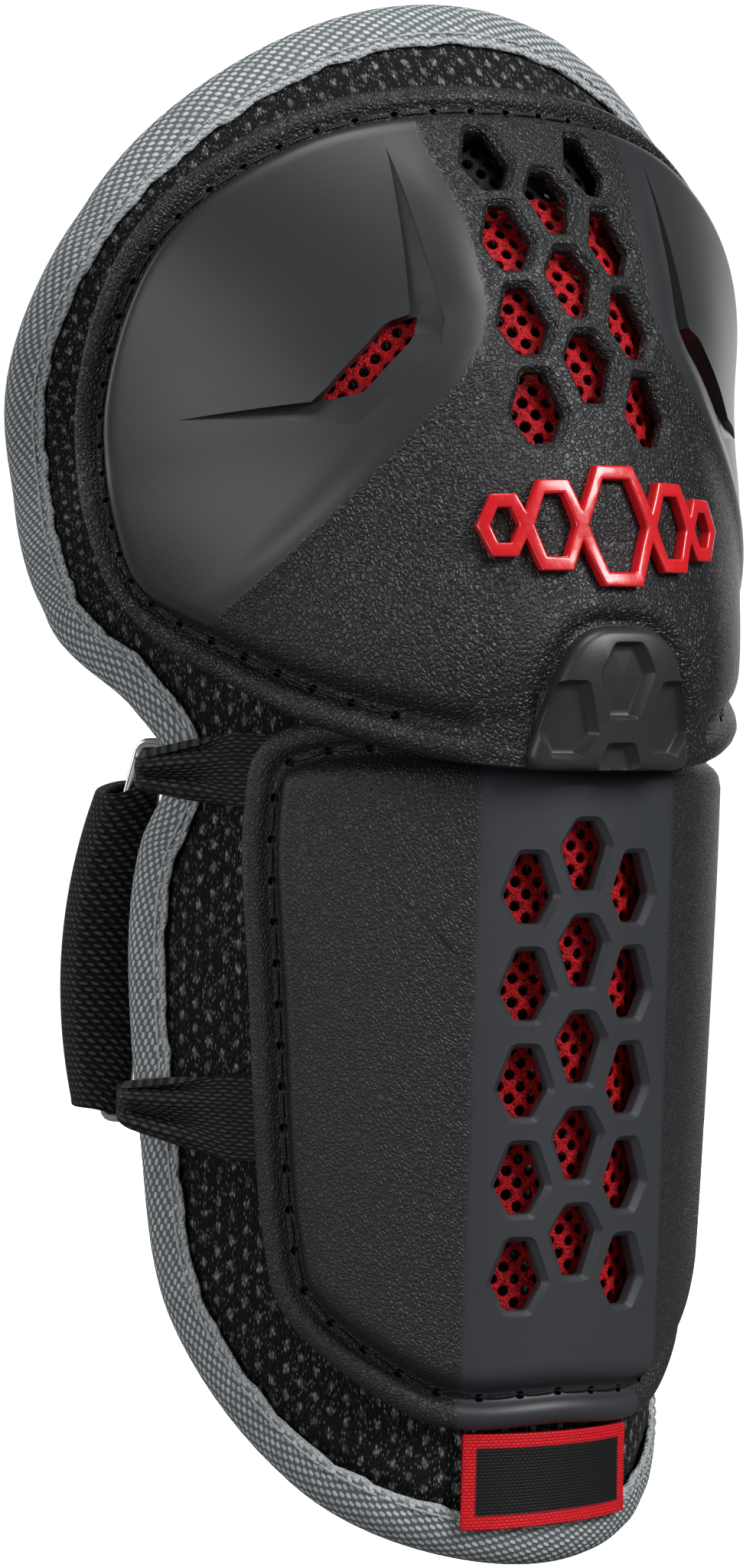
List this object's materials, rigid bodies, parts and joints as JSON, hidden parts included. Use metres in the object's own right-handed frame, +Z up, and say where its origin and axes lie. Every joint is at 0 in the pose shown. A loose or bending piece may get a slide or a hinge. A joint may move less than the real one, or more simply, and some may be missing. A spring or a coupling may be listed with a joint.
{
  "type": "elbow guard",
  "caption": "Elbow and forearm guard: curved padded panel with bound edge, vented elbow cup and forearm shell over red mesh, wire ring and wide elastic strap round the arm.",
  "frame": {"origin": "on the axis of the arm that the guard is worn on, level with the waist between the two shells", "axes": "+Z up along the arm towards the elbow, front of the guard towards -Y, wire ring towards -X"},
  "size_m": [0.1508, 0.1301, 0.281],
  "materials": {
    "pad_mesh": "black spacer mesh over foam",
    "binding_tape": "grey twill tape",
    "shell_plastic": "moulded, smooth panels and fine pebble grain",
    "vent_mesh": "red open mesh",
    "badge_plastic": "glossy red rubber",
    "ring_wire": "polished wire",
    "webbing": "black woven webbing",
    "elastic": "black knitted elastic",
    "label_weave": "woven label with a red border"
  },
  "bodies": {
    "root": {"pad_body": "pad_mesh", "edge_binding": "binding_tape", "upper_shell": "shell_plastic", "lower_shell": "shell_plastic", "vent_mesh_upper": "vent_mesh", "vent_mesh_lower": "vent_mesh", "front_badge": "badge_plastic", "strap_ring": "ring_wire", "webbing_tab_upper": "webbing", "webbing_tab_lower": "webbing", "elastic_strap": "elastic", "woven_label": "label_weave"}
  },
  "joints": []
}
